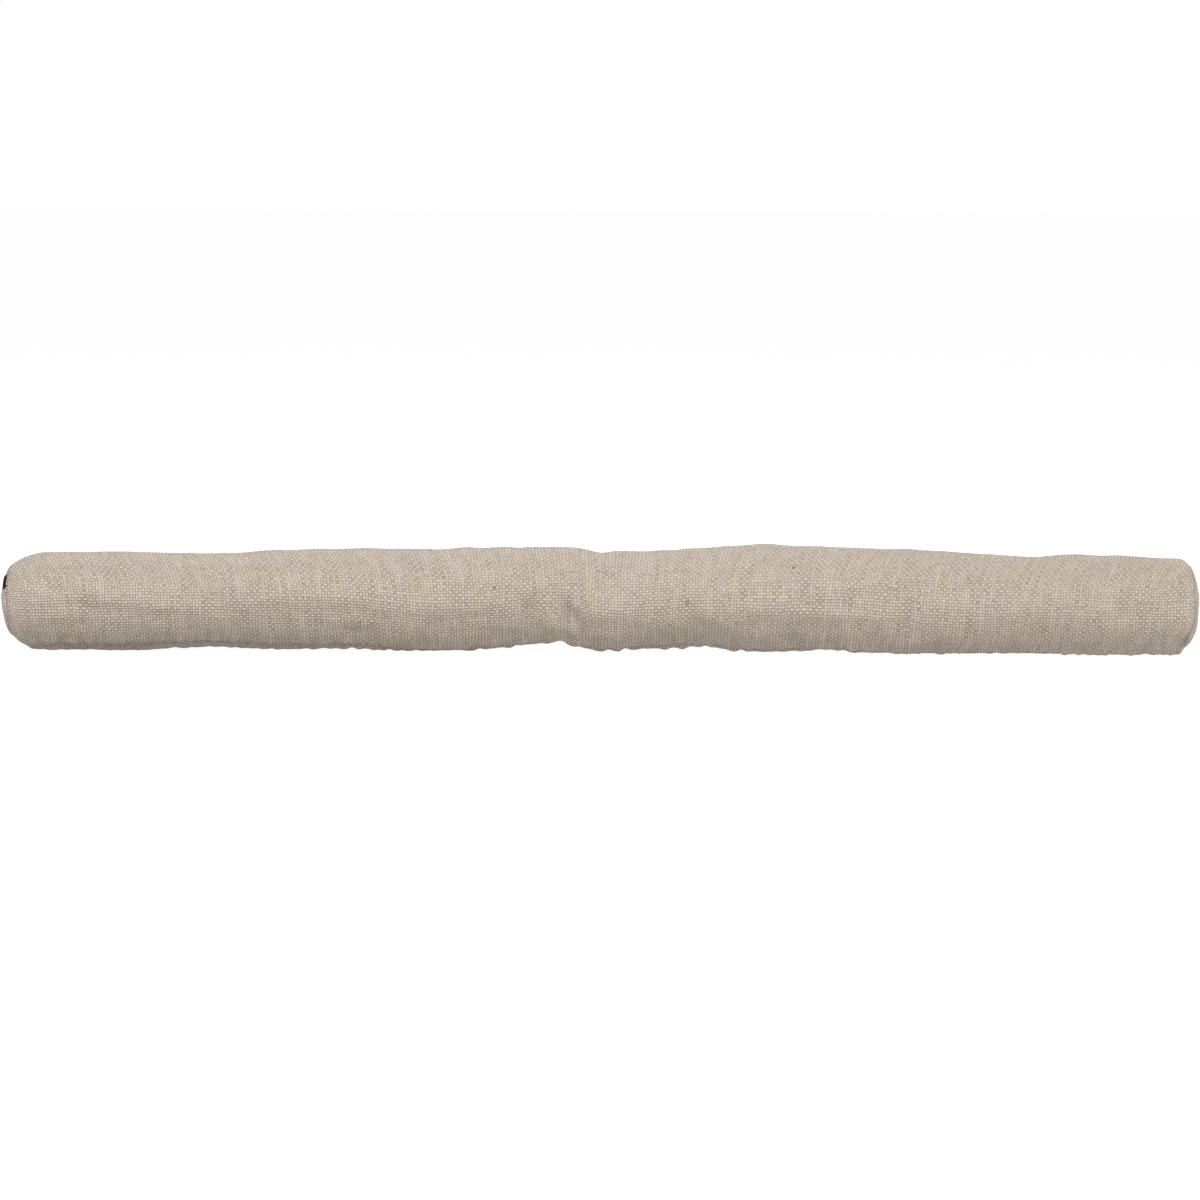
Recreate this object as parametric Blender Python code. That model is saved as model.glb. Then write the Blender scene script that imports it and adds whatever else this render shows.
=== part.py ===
"""Draught excluder: a stuffed tube of coarse linen with a round panel sewn into each end and a folded tab
in the left end seam. Metres, +Z up. X runs along the tube, the front faces -Y, and the origin is under the
middle, on the floor.
"""

from collections import namedtuple
from math import cos, pi, radians, sin

import bmesh
import bpy
import numpy as np
from mathutils import Vector

# Driving dimensions, in metres unless the name says otherwise
LENGTH = 0.900  # tip to tip over the two crowned end panels
GIRTH = 0.250  # cloth once round the tube, the same all along it
GAP = 0.0003  # between pieces that lie against each other
FLATTENING = 0.0022  # how far the filled tube would sink below the floor if the floor let it
WAIST = 0.485  # height of the widest point, as a share of the section's height

# The ends: the seam's ring, how far the panel is pushed out and how squarely, how long the shoulder is, and
# the height of the ring's middle
End = namedtuple("End", "name side ring_radius bulge crown shoulder height")
LEFT = End("left", -1, 0.0266, 0.0056, 2.4, 0.024, 0.0353)
RIGHT = End("right", 1, 0.0315, 0.0052, 2.4, 0.010, 0.0345)
RIM = 0.0014  # thickness of a panel at its sewn edge

# The long seam: a shallow ditch between two soft lips
DITCH_DEPTH = 0.0024
DITCH_WIDTH = 0.0030
LIP_HEIGHT = 0.0007
LIP_OFFSET = 0.0068
LIP_WIDTH = 0.0038

# The tab in the left end seam
TAB_WIDTH = 0.011
TAB_LENGTH = 0.0045
TAB_THICKNESS = 0.0008
TAB_FOLD = 0.0005  # how much thicker it is at its fold
TAB_ANGLE = radians(41)  # up from the front, round the ring

# Cross-sections from left to right. height is the top of the tube, lift is how far its underside stands off
# the floor, and seam is where the long seam runs, in degrees down from the front.
Section = namedtuple("Section", "x height lift seam")
SECTIONS = (
    Section(-0.450, 0.0705, 0.0000, 57),
    Section(-0.420, 0.0710, 0.0000, 55),
    Section(-0.360, 0.0722, 0.0000, 54),
    Section(-0.301, 0.0710, 0.0036, 55),
    Section(-0.240, 0.0740, 0.0020, 58),
    Section(-0.181, 0.0754, 0.0030, 62),
    Section(-0.128, 0.0754, 0.0005, 68),
    Section(-0.075, 0.0774, 0.0044, 70),
    Section(-0.045, 0.0771, 0.0073, 68),
    Section(-0.015, 0.0762, 0.0044, 66),
    Section(0.004, 0.0740, 0.0018, 68),
    Section(0.030, 0.0746, 0.0042, 70),
    Section(0.075, 0.0768, 0.0058, 68),
    Section(0.125, 0.0802, 0.0020, 70),
    Section(0.150, 0.0792, 0.0040, 70),
    Section(0.170, 0.0780, 0.0034, 69),
    Section(0.226, 0.0769, 0.0000, 71),
    Section(0.270, 0.0748, 0.0000, 72),
    Section(0.328, 0.0718, 0.0018, 70),
    Section(0.352, 0.0730, 0.0000, 70),
    Section(0.405, 0.0718, 0.0000, 69),
    Section(0.450, 0.0714, 0.0000, 68),
)

# Creases and swells of the cloth. x is the middle along the tube and around the middle in degrees up from
# the front. length runs round the tube, leaning to +X at its lower end by lean degrees, and width runs
# across it. height is how far the cloth stands out, or in where it is negative.
Fold = namedtuple("Fold", "x around length width lean height")
FOLDS = (
    Fold(-0.030, -80, 0.030, 0.009, 0, -0.0042),
    Fold(-0.022, -12, 0.032, 0.010, 29, -0.0022),
    Fold(-0.051, -6, 0.024, 0.013, -4, -0.0014),
    Fold(-0.034, -26, 0.026, 0.011, 8, 0.0016),
    Fold(-0.006, -6, 0.020, 0.017, 12, 0.0014),
    Fold(0.002, 84, 0.036, 0.013, 6, -0.0020),
    Fold(0.027, -32, 0.024, 0.009, -10, -0.0013),
    Fold(0.076, -32, 0.024, 0.017, 12, -0.0014),
    Fold(0.096, 28, 0.015, 0.030, 0, -0.0010),
    Fold(0.096, -24, 0.022, 0.020, 6, 0.0013),
    Fold(0.229, -8, 0.034, 0.016, 5, -0.0014),
    Fold(0.340, 13, 0.040, 0.027, 4, -0.0017),
    Fold(0.179, -12, 0.012, 0.021, 0, 0.0010),
    Fold(-0.180, -33, 0.012, 0.036, 0, -0.0013),
    Fold(-0.188, 9, 0.020, 0.023, 0, 0.0011),
    Fold(-0.241, -2, 0.019, 0.020, 0, -0.0011),
    Fold(-0.322, 0, 0.014, 0.024, 0, 0.0010),
    Fold(-0.110, 150, 0.050, 0.020, -12, -0.0016),
    Fold(0.140, 165, 0.046, 0.018, 14, -0.0015),
    Fold(0.300, 140, 0.038, 0.022, -8, -0.0014),
    Fold(-0.330, 160, 0.040, 0.020, 10, -0.0014),
)

# Mesh steps
STATIONS_BETWEEN = 112
STATIONS_ON_SHOULDER = 6
STEPS_AROUND = 38
CROWDING = 0.55  # how much closer the steps lie at the seam than on the back
PANEL_STEPS_OUT = 7
TAB_STEPS_LONG = 6
TAB_STEPS_WIDE = 5

# Finishes: colour, roughness
LINEN = ("linen", (0.552, 0.479, 0.404), 0.95)
TAB_TAPE = ("tab_tape", (0.012, 0.012, 0.013), 0.70)


def clear_scene():
    for obj in list(bpy.data.objects):
        bpy.data.objects.remove(obj, do_unlink=True)


def finish(name, colour, roughness):
    material = bpy.data.materials.new(name)
    material.use_nodes = True
    shader = material.node_tree.nodes["Principled BSDF"]
    shader.inputs["Base Color"].default_value = (*colour, 1.0)
    shader.inputs["Roughness"].default_value = roughness
    shader.inputs["Metallic"].default_value = 0.0
    material.diffuse_color = (*colour, 1.0)
    return material


def new_object(name, shape, material):
    """Turns a bmesh into a smooth-shaded object with its faces pointing out."""
    bmesh.ops.recalc_face_normals(shape, faces=shape.faces)
    mesh = bpy.data.meshes.new(name)
    shape.to_mesh(mesh)
    shape.free()
    mesh.shade_smooth()
    mesh.set_sharp_from_angle(angle=radians(50))
    mesh.materials.append(material)
    obj = bpy.data.objects.new(name, mesh)
    bpy.context.scene.collection.objects.link(obj)
    return obj


def grid_shape(points, closed_across):
    """A bmesh of quads over rows of points. closed_across joins each row's last point to its first."""
    shape = bmesh.new()
    rows = [[shape.verts.new(point) for point in row] for row in points]
    steps = len(rows[0]) if closed_across else len(rows[0]) - 1
    for near, far in zip(rows, rows[1:]):
        for i in range(steps):
            j = (i + 1) % len(near)
            shape.faces.new((near[i], near[j], far[j], far[i]))
    return shape, rows


def ring_x(end):
    """Where the end seam's ring lies: the panel's bulge, its rim and the gap inside the tip."""
    return end.side * (LENGTH / 2 - end.bulge - RIM - GAP)


def along(column, x):
    """One column of SECTIONS read at x, on a cubic curve whose slope at each row comes from its neighbours."""
    place = np.array([section.x for section in SECTIONS])
    value = np.array([getattr(section, column) for section in SECTIONS])
    slope = np.gradient(value, place)
    i = np.clip(np.searchsorted(place, x) - 1, 0, len(place) - 2)
    step = place[i + 1] - place[i]
    t = (x - place[i]) / step
    return (
        (1 + 2 * t) * (1 - t) ** 2 * value[i]
        + t * (1 - t) ** 2 * step * slope[i]
        + t**2 * (3 - 2 * t) * value[i + 1]
        + t**2 * (t - 1) * step * slope[i + 1]
    )


def stations():
    """X of each cross-section: close together on the two shoulders, evenly spread between them."""
    left, right = ring_x(LEFT), ring_x(RIGHT)
    ease = 1 - np.cos(np.linspace(0, pi / 2, STATIONS_ON_SHOULDER + 1))
    first = left + LEFT.shoulder * ease
    last = (right - RIGHT.shoulder * ease)[::-1]
    between = np.linspace(first[-1], last[0], STATIONS_BETWEEN)
    return np.concatenate([first[:-1], between, last[1:]])


def fullness(x):
    """How much of the full section stands at x: a parabola from 0 at each seam ring to 1 past its
    shoulder."""
    full = np.ones_like(x)
    for end in (LEFT, RIGHT):
        run = np.clip(abs(x - ring_x(end)) / end.shoulder, 0, 1)
        full = np.minimum(full, 1 - (1 - run) ** 2)
    return full


def swell(x, angle, radius):
    """How far the cloth stands out at an angle round the tube: the seam's ditch and lips, and the folds."""
    from_seam = (angle + np.radians(along("seam", x)) + pi) % (2 * pi) - pi
    arc = from_seam * radius
    out = -DITCH_DEPTH * np.exp(-((arc / DITCH_WIDTH) ** 2))
    out += LIP_HEIGHT * np.exp(-(((abs(arc) - LIP_OFFSET) / LIP_WIDTH) ** 2))
    for fold in FOLDS:
        turn = (angle - radians(fold.around) + pi) % (2 * pi) - pi
        down, right = -turn * radius, x - fold.x
        lean = radians(fold.lean)
        with_it = down * cos(lean) + right * sin(lean)
        across_it = right * cos(lean) - down * sin(lean)
        spread = (2 * with_it / fold.length) ** 2 + (2 * across_it / fold.width) ** 2
        out += fold.height * np.exp(-spread)
    return out


def tube_points():
    """The tube's surface as rows of points, one row for each station, starting at the long seam.

    Each section is an oval of the tube's girth, pressed flat on the floor, and it narrows to a circle at
    the end seams.
    """
    x = stations()[:, None]
    share = np.linspace(0, 1, STEPS_AROUND, endpoint=False)[None, :]
    crowded = share - CROWDING * np.sin(2 * pi * share) / (2 * pi)
    angle = 2 * pi * crowded - np.radians(along("seam", x))

    top, lift = along("height", x), along("lift", x)
    middle = lift + WAIST * (top - lift)
    half_depth = GIRTH / pi - (top - lift) / 2
    below = middle - lift + FLATTENING
    radius = (half_depth + (top - lift) / 2) / 2
    full = fullness(x)
    out = 1 + swell(x, angle, radius) * full / radius

    y = -half_depth * np.cos(angle) * out
    z = middle + np.where(np.sin(angle) > 0, top - middle, below) * np.sin(angle) * out
    ring = np.where(x < 0, LEFT.ring_radius, RIGHT.ring_radius)
    ring_height = np.where(x < 0, LEFT.height, RIGHT.height)
    y = -ring * np.cos(angle) + (y + ring * np.cos(angle)) * full
    ring_z = ring_height + ring * np.sin(angle)
    z = np.maximum(ring_z + (z - ring_z) * full, 0)
    return np.stack([np.broadcast_to(x, y.shape), y, z], axis=-1)


def make_tube(linen):
    shape, rows = grid_shape(tube_points(), closed_across=True)
    for row in (rows[0], rows[-1]):
        shape.faces.new(row)
    return new_object("tube", shape, linen)


def crown(end, radius):
    """How far a panel's face stands out from its rim at a distance from its middle."""
    return end.bulge * (1 - (radius / end.ring_radius) ** end.crown)


def make_panel(end, linen):
    """A crowned disc, spun about the tube's axis from a profile with a flat back."""
    shape = bmesh.new()
    back = ring_x(end) + end.side * GAP
    axis_point = Vector((0, 0, end.height))
    profile = [(back, 0.0), (back, end.ring_radius)]
    for i in range(PANEL_STEPS_OUT + 1):
        radius = end.ring_radius * (1 - i / PANEL_STEPS_OUT)
        profile.append((back + end.side * (RIM + crown(end, radius)), radius))
    verts = [shape.verts.new((x, -radius, end.height)) for x, radius in profile]
    edges = [shape.edges.new(pair) for pair in zip(verts, verts[1:])]
    bmesh.ops.spin(
        shape,
        geom=verts + edges,
        cent=axis_point,
        axis=Vector((1, 0, 0)),
        angle=2 * pi,
        steps=STEPS_AROUND,
        use_merge=True,
    )
    bmesh.ops.remove_doubles(shape, verts=shape.verts, dist=1e-6)
    return new_object(f"end_panel_{end.name}", shape, linen)


def make_tab(tape):
    """A folded tab from the left seam's ring in over the panel, a gap above its crown all the way."""
    outward = np.array([-cos(TAB_ANGLE), sin(TAB_ANGLE)])
    sideways = np.array([sin(TAB_ANGLE), cos(TAB_ANGLE)])
    down = np.linspace(0, TAB_LENGTH, TAB_STEPS_LONG)[:, None]
    wide = np.linspace(-TAB_WIDTH / 2, TAB_WIDTH / 2, TAB_STEPS_WIDE)[None, :]
    reach = LEFT.ring_radius - 0.0005 - down
    y = reach * outward[0] + wide * sideways[0]
    z = reach * outward[1] + wide * sideways[1]
    from_middle = np.minimum(np.hypot(y, z), LEFT.ring_radius)
    under = RIM + crown(LEFT, from_middle) + 1.5 * GAP
    fold = TAB_THICKNESS + TAB_FOLD * (down / TAB_LENGTH) ** 4
    back = ring_x(LEFT) - GAP
    shape = bmesh.new()
    faces = []
    for stand in (under, under + fold + 0 * wide):
        points = np.stack([back - stand, y + 0 * stand, z + LEFT.height], axis=-1)
        faces.append([[shape.verts.new(point) for point in row] for row in points])
    for rows in faces:
        for near, far in zip(rows, rows[1:]):
            for i in range(TAB_STEPS_WIDE - 1):
                shape.faces.new((near[i], near[i + 1], far[i + 1], far[i]))
    inner, outer = (
        rows[0] + [row[-1] for row in rows[1:-1]] + rows[-1][::-1] + [row[0] for row in rows[-2:0:-1]]
        for rows in faces
    )
    for i in range(len(inner)):
        j = (i + 1) % len(inner)
        shape.faces.new((inner[i], inner[j], outer[j], outer[i]))
    return new_object("label", shape, tape)


def main():
    clear_scene()
    linen = finish(*LINEN)
    make_tube(linen)
    for end in (LEFT, RIGHT):
        make_panel(end, linen)
    make_tab(finish(*TAB_TAPE))


main()
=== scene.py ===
"""Draught excluder: a stuffed tube of coarse linen on a pale floor, seen from the front."""

from collections import namedtuple
from math import cos, pi, radians, sin

import bpy
import numpy as np
from mathutils import Matrix, Vector


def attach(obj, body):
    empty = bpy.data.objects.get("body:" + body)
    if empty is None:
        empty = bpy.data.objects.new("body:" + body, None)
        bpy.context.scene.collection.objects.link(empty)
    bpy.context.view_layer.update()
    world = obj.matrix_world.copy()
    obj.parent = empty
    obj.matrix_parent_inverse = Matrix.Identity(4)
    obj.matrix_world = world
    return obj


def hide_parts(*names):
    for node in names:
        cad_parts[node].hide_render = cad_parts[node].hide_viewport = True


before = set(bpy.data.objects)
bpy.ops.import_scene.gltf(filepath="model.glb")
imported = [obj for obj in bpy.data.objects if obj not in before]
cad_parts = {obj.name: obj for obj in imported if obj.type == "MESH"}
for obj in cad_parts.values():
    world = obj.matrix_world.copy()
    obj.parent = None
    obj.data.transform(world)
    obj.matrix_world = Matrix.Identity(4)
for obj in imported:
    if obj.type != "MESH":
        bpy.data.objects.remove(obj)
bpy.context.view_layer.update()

# The stuffed tube
# One rectangle of coarse natural linen, about 11 threads to the inch, is sewn along its long edges, turned
# and packed with fibre. It lies with the long seam low on the front, pressed flat where it meets the floor.
# The filling pushes the cloth out unevenly, so the tube dips and swells, and creases where it was bent.

LENGTH = 0.900  # tip to tip over the two crowned end panels
GIRTH = 0.250  # cloth once round the tube, the same all along it
GAP = 0.0003  # between two pieces
FLATTENING = 0.0022  # how far the filled tube would sink below the floor if the floor let it
WAIST = 0.485  # height of the widest point, as a share of the section's height

# Each end seam is a ring of ring_radius at height, over which the panel stands out by bulge, and the tube
# narrows to it over shoulder. Its lower front is drawn in by set_in.
End = namedtuple("End", "name side ring_radius bulge shoulder height set_in")
LEFT = End("left", -1, 0.0266, 0.0070, 0.024, 0.0353, 0.0006)
RIGHT = End("right", 1, 0.0315, 0.0066, 0.010, 0.0345, 0.0042)
SET_IN_ANGLE = radians(-65)
SET_IN_WIDTH = radians(42)

# The section at x: how high its top stands, how far its underside is lifted off the floor, and how many
# degrees the long seam lies below the front.
Section = namedtuple("Section", "x height lift seam")
SECTIONS = (
    Section(-0.450, 0.0705, 0.0000, 57),
    Section(-0.420, 0.0710, 0.0000, 55),
    Section(-0.360, 0.0722, 0.0000, 54),
    Section(-0.301, 0.0710, 0.0036, 55),
    Section(-0.240, 0.0740, 0.0020, 58),
    Section(-0.181, 0.0754, 0.0030, 62),
    Section(-0.128, 0.0754, 0.0005, 68),
    Section(-0.075, 0.0774, 0.0044, 70),
    Section(-0.045, 0.0771, 0.0073, 68),
    Section(-0.015, 0.0762, 0.0044, 66),
    Section(0.004, 0.0740, 0.0018, 68),
    Section(0.030, 0.0746, 0.0042, 70),
    Section(0.075, 0.0768, 0.0058, 68),
    Section(0.125, 0.0802, 0.0020, 70),
    Section(0.150, 0.0792, 0.0040, 70),
    Section(0.170, 0.0780, 0.0034, 69),
    Section(0.226, 0.0769, 0.0000, 71),
    Section(0.270, 0.0748, 0.0000, 72),
    Section(0.328, 0.0718, 0.0018, 70),
    Section(0.352, 0.0730, 0.0000, 70),
    Section(0.405, 0.0718, 0.0000, 69),
    Section(0.450, 0.0714, 0.0000, 68),
)

# Creases and swells: x along the tube and around in degrees up from the front are the middle, length runs
# round the tube and leans to +X at its lower end by lean degrees, width runs across it, and height is how
# far the cloth stands out, or in where it is negative.
Fold = namedtuple("Fold", "x around length width lean height")
FOLDS = (
    Fold(-0.030, -80, 0.030, 0.009, 0, -0.0042),
    Fold(-0.022, -12, 0.032, 0.011, 29, -0.0056),
    Fold(-0.051, -8, 0.026, 0.014, -4, -0.0040),
    Fold(-0.034, -26, 0.026, 0.011, 8, 0.0034),
    Fold(-0.006, -6, 0.022, 0.017, 12, 0.0032),
    Fold(0.002, 84, 0.036, 0.013, 6, -0.0020),
    Fold(0.027, -32, 0.024, 0.009, -10, -0.0018),
    Fold(0.076, -32, 0.024, 0.017, 12, -0.0026),
    Fold(0.096, 28, 0.015, 0.030, 0, -0.0014),
    Fold(0.096, -24, 0.022, 0.020, 6, 0.0018),
    Fold(0.229, -8, 0.034, 0.016, 5, -0.0019),
    Fold(0.340, 13, 0.040, 0.027, 4, -0.0023),
    Fold(0.179, -12, 0.012, 0.021, 0, 0.0014),
    Fold(-0.180, -33, 0.012, 0.036, 0, -0.0018),
    Fold(-0.188, 9, 0.020, 0.023, 0, 0.0015),
    Fold(-0.241, -2, 0.019, 0.020, 0, -0.0015),
    Fold(-0.322, 0, 0.014, 0.024, 0, 0.0014),
    Fold(-0.110, 150, 0.050, 0.020, -12, -0.0016),
    Fold(0.140, 165, 0.046, 0.018, 14, -0.0015),
    Fold(0.300, 140, 0.038, 0.022, -8, -0.0014),
    Fold(-0.330, 160, 0.040, 0.020, 10, -0.0014),
    # The finer creases, which the plain solid leaves out
    Fold(-0.022, 38, 0.012, 0.014, 20, -0.0012),
    Fold(-0.001, 22, 0.012, 0.012, 0, -0.0012),
    Fold(-0.046, -32, 0.012, 0.010, 0, -0.0015),
    Fold(0.014, -1, 0.015, 0.014, 0, 0.0014),
    Fold(0.116, -7, 0.016, 0.015, 0, 0.0014),
    Fold(0.133, 1, 0.018, 0.014, 0, 0.0012),
    Fold(0.414, 54, 0.014, 0.030, 0, -0.0010),
    Fold(-0.270, -29, 0.010, 0.009, 0, -0.0011),
    Fold(-0.096, -13, 0.008, 0.018, 0, -0.0009),
    Fold(-0.331, 45, 0.010, 0.012, 0, -0.0008),
    Fold(-0.120, -4, 0.014, 0.012, 0, 0.0011),
    Fold(-0.074, -27, 0.012, 0.020, 0, 0.0012),
    Fold(0.205, 60, 0.024, 0.016, 20, -0.0008),
    Fold(-0.060, 70, 0.026, 0.018, -16, -0.0008),
    Fold(0.055, 100, 0.030, 0.014, 10, -0.0010),
    Fold(-0.200, 110, 0.036, 0.016, -10, -0.0011),
    Fold(0.020, 175, 0.040, 0.012, 12, -0.0015),
    Fold(-0.020, 200, 0.030, 0.012, -14, -0.0013),
    Fold(0.210, 190, 0.026, 0.014, 6, -0.0010),
    Fold(-0.400, 120, 0.022, 0.018, 0, -0.0010),
    Fold(0.400, 170, 0.024, 0.018, 0, -0.0010),
    Fold(-0.060, 88, 0.030, 0.012, 10, -0.0018),
    Fold(-0.091, 86, 0.030, 0.014, -8, -0.0015),
)

# The long seam draws the cloth into a ditch between two lips and puckers it on both sides.
DITCH_DEPTH = 0.0014
DITCH_WIDTH = 0.0020
LIP_HEIGHT = 0.0007
LIP_OFFSET = 0.0060
LIP_WIDTH = 0.0034
PUCKER_HEIGHT = 0.0011
PUCKER_SIZE = 0.0085
PUCKER_START = 0.0012
PUCKER_REACH = 0.013
PUCKER_SHORTENING = 0.25  # puckers run across the seam, so they are this much slower to change that way
SIDE_SHIFT = 0.1  # keeps the puckers of the two sides apart
PUCKER_SEED = 11

# The end seams gather the cloth, and it rolls over just inside them.
GATHER_HEIGHT = 0.0006
GATHER_SIZE = 0.016
GATHER_REACH = 0.012
GATHER_SHORTENING = 0.3
GATHER_SEED = 21
ROLL_HEIGHT = 0.0006
ROLL_OFFSET = 0.0042
ROLL_WIDTH = 0.0030
SEAM_WAVES = 40

# The filling is a little lumpy all over.
LUMP_HEIGHT = 0.00035
LUMP_SIZE = 0.030
LUMP_WAVES = 60
LUMP_SEED = 5

# Both seams are darkened brown, partly rubbed dirt and partly painted shade in their recesses: the long one
# where it turns up to the front, past the left end, and the end seams most in one spot low on the right one.
DARKENING_REACH = 0.0016
DARKENING_START = 0.045
SEAM_HIGH = 54
SEAM_LOW = 66
LONG_SEAM_DARKENING = 0.36
END_SEAM_DARKENING = 0.14
SPOT_ANGLE = radians(-37)
SPOT_WIDTH = radians(17)
SPOT_REACH = 3.4  # how many times farther the darkening, partly wear and partly painted shade, reaches in the spot, on top of once

STEPS_ALONG = 600
STEPS_AROUND = 160
ROW_CROWDING = 0.0144
SIM_SHARE = 2  # the simulated cloth has one step for this many


def ring_x(end):
    """Where an end seam's ring lies: the panel's bulge and the gap inside the tip."""
    return end.side * (LENGTH / 2 - end.bulge - GAP)


def drawn_in(end, angle):
    """How far an end seam is pulled in along X at an angle up from the front: a smooth flat-topped dip."""
    turn = (angle - SET_IN_ANGLE + pi) % (2 * pi) - pi
    return -end.side * end.set_in * np.exp(-((turn / SET_IN_WIDTH) ** 6))


def along(column, x):
    """One column of SECTIONS read at x, on a cubic curve whose slope at each section comes from its
    neighbours."""
    place = np.array([section.x for section in SECTIONS])
    value = np.array([getattr(section, column) for section in SECTIONS])
    slope = np.gradient(value, place)
    i = np.clip(np.searchsorted(place, x) - 1, 0, len(place) - 2)
    step = place[i + 1] - place[i]
    t = (x - place[i]) / step
    return (
        (1 + 2 * t) * (1 - t) ** 2 * value[i]
        + t * (1 - t) ** 2 * step * slope[i]
        + t**2 * (3 - 2 * t) * value[i + 1]
        + t**2 * (t - 1) * step * slope[i + 1]
    )


def fullness(x):
    """How much of the full section stands at x: a parabola from 0 at a seam ring to 1 past its shoulder."""
    full = np.ones_like(x)
    for end in (LEFT, RIGHT):
        run = np.clip(abs(x - ring_x(end)) / end.shoulder, 0, 1)
        full = np.minimum(full, 1 - (1 - run) ** 2)
    return full


WAVE_LENGTHS = (0.7, 1.6)  # the shortest and the longest wave, as shares of the size asked for
WAVE_GAIN = 1.2  # brings the sum to about -1 to 1


def waves(points, size, count, seed):
    """Smooth unevenness: a sum of plane waves through the points, each about size long, in random
    directions."""
    draw = np.random.default_rng(seed)
    way = draw.normal(size=(count, points.shape[-1]))
    way /= np.linalg.norm(way, axis=1, keepdims=True)
    pace = 2 * pi / (size * draw.uniform(*WAVE_LENGTHS, count))
    phase = draw.uniform(0, 2 * pi, count)
    total = np.zeros(points.shape[:-1])
    for heading, rate, start in zip(way, pace, phase):
        total += np.sin((points @ heading) * rate + start)
    return total * (WAVE_GAIN / count**0.5)


def seam_dirt_and_shade(x, turn):
    """How dark each point of the tube is painted by the seams, from 0 to 1, partly wear and partly painted
    shade
    in their recesses: it falls off exponentially from the long seam and as a bell curve from the end seams,
    stronger and wider in the spot, in the measure that a seam is pulled in."""
    arc = abs((turn + pi) % (2 * pi) - pi) * GIRTH / (2 * pi)
    inward = 1 - np.exp(-(((x - ring_x(LEFT)) / DARKENING_START) ** 2))
    turned_up = np.clip((SEAM_LOW - along("seam", x)) / (SEAM_LOW - SEAM_HIGH), 0, 1)
    seam_darkness = LONG_SEAM_DARKENING * np.exp(-arc / DARKENING_REACH) * inward * turned_up
    angle = turn - np.radians(along("seam", x))
    from_spot = (angle - SPOT_ANGLE + pi) % (2 * pi) - pi
    for end in (LEFT, RIGHT):
        spot = end.set_in / RIGHT.set_in * np.exp(-((from_spot / SPOT_WIDTH) ** 2))
        strength = END_SEAM_DARKENING + (1 - END_SEAM_DARKENING) * spot
        reach = DARKENING_REACH * (1 + SPOT_REACH * spot)
        seam_darkness = np.maximum(seam_darkness, strength * np.exp(-(((x - ring_x(end)) / reach) ** 2)))
    return seam_darkness


def swell(x, angle, radius, fine):
    """How far the cloth stands out at an angle round the tube: the long seam's exponential ditch and bell-
    shaped lips, the folds as leaning bell shapes, and, if fine, the puckers, gathers, rolls and lumps."""
    from_seam = (angle + np.radians(along("seam", x)) + pi) % (2 * pi) - pi
    arc = abs(from_seam * radius)
    out = -DITCH_DEPTH * np.exp(-arc / DITCH_WIDTH)
    out += LIP_HEIGHT * np.exp(-(((arc - LIP_OFFSET) / LIP_WIDTH) ** 2))
    for fold in FOLDS:
        turn = (angle - radians(fold.around) + pi) % (2 * pi) - pi
        down, right = -turn * radius, x - fold.x
        lean = radians(fold.lean)
        with_it = down * cos(lean) + right * sin(lean)
        across_it = right * cos(lean) - down * sin(lean)
        spread = (2 * with_it / fold.length) ** 2 + (2 * across_it / fold.width) ** 2
        out += fold.height * np.exp(-spread)
    if fine:
        for side in (-1, 1):
            here = np.stack([x + 0 * arc, PUCKER_SHORTENING * arc + SIDE_SHIFT * side], axis=-1)
            pucker = waves(here, PUCKER_SIZE, SEAM_WAVES, PUCKER_SEED + side)
            near = np.exp(-arc / PUCKER_REACH) * (1 - np.exp(-arc / PUCKER_START))
            out += PUCKER_HEIGHT * pucker * near * (np.sign(from_seam) == side)
        for end in (LEFT, RIGHT):
            off = abs(x - ring_x(end))
            here = np.stack(
                [np.cos(angle) * radius, np.sin(angle) * radius, GATHER_SHORTENING * off + 0 * angle], axis=-1
            )
            gather = waves(here, GATHER_SIZE, SEAM_WAVES, GATHER_SEED + end.side)
            out += GATHER_HEIGHT * gather * np.exp(-off / GATHER_REACH)
            out += ROLL_HEIGHT * np.exp(-(((off - ROLL_OFFSET) / ROLL_WIDTH) ** 2))
        here = np.stack([x + 0 * angle, np.cos(angle) * radius, np.sin(angle) * radius], axis=-1)
        out += LUMP_HEIGHT * waves(here, LUMP_SIZE, LUMP_WAVES, LUMP_SEED)
    return out


def tube_points(x, turn, fine=False):
    """Points of the tube at x, and at a turn round it that starts at the long seam. Each section is an oval
    of the tube's girth, pressed flat on the floor, and it narrows to a circle at the end seams."""
    angle = turn - np.radians(along("seam", x))
    top, lift = along("height", x), along("lift", x)
    middle = lift + WAIST * (top - lift)
    half_depth = GIRTH / pi - (top - lift) / 2
    below = middle - lift + FLATTENING
    radius = (half_depth + (top - lift) / 2) / 2
    full = fullness(x)
    out = 1 + swell(x, angle, radius, fine) * full / radius
    y = -half_depth * np.cos(angle) * out
    z = middle + np.where(np.sin(angle) > 0, top - middle, below) * np.sin(angle) * out
    ring = np.where(x < 0, LEFT.ring_radius, RIGHT.ring_radius)
    ring_height = np.where(x < 0, LEFT.height, RIGHT.height)
    y = -ring * np.cos(angle) + (y + ring * np.cos(angle)) * full
    ring_z = ring_height + ring * np.sin(angle)
    z = ring_z + (z - ring_z) * full
    pulled = x + 0 * y
    for end in (LEFT, RIGHT):
        pulled = pulled + drawn_in(end, angle) * np.exp(-abs(x - ring_x(end)) / end.shoulder)
    return np.stack([pulled, y, z], axis=-1)


def spaced_along(steps):
    """X of the rows from ring to ring: even steps less a sine, which brings them closer together near both
    ends."""
    left, right = ring_x(LEFT), ring_x(RIGHT)
    even = np.linspace(0, 1, steps + 1)
    return left + (right - left) * (even - ROW_CROWDING * np.sin(2 * pi * even))


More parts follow.
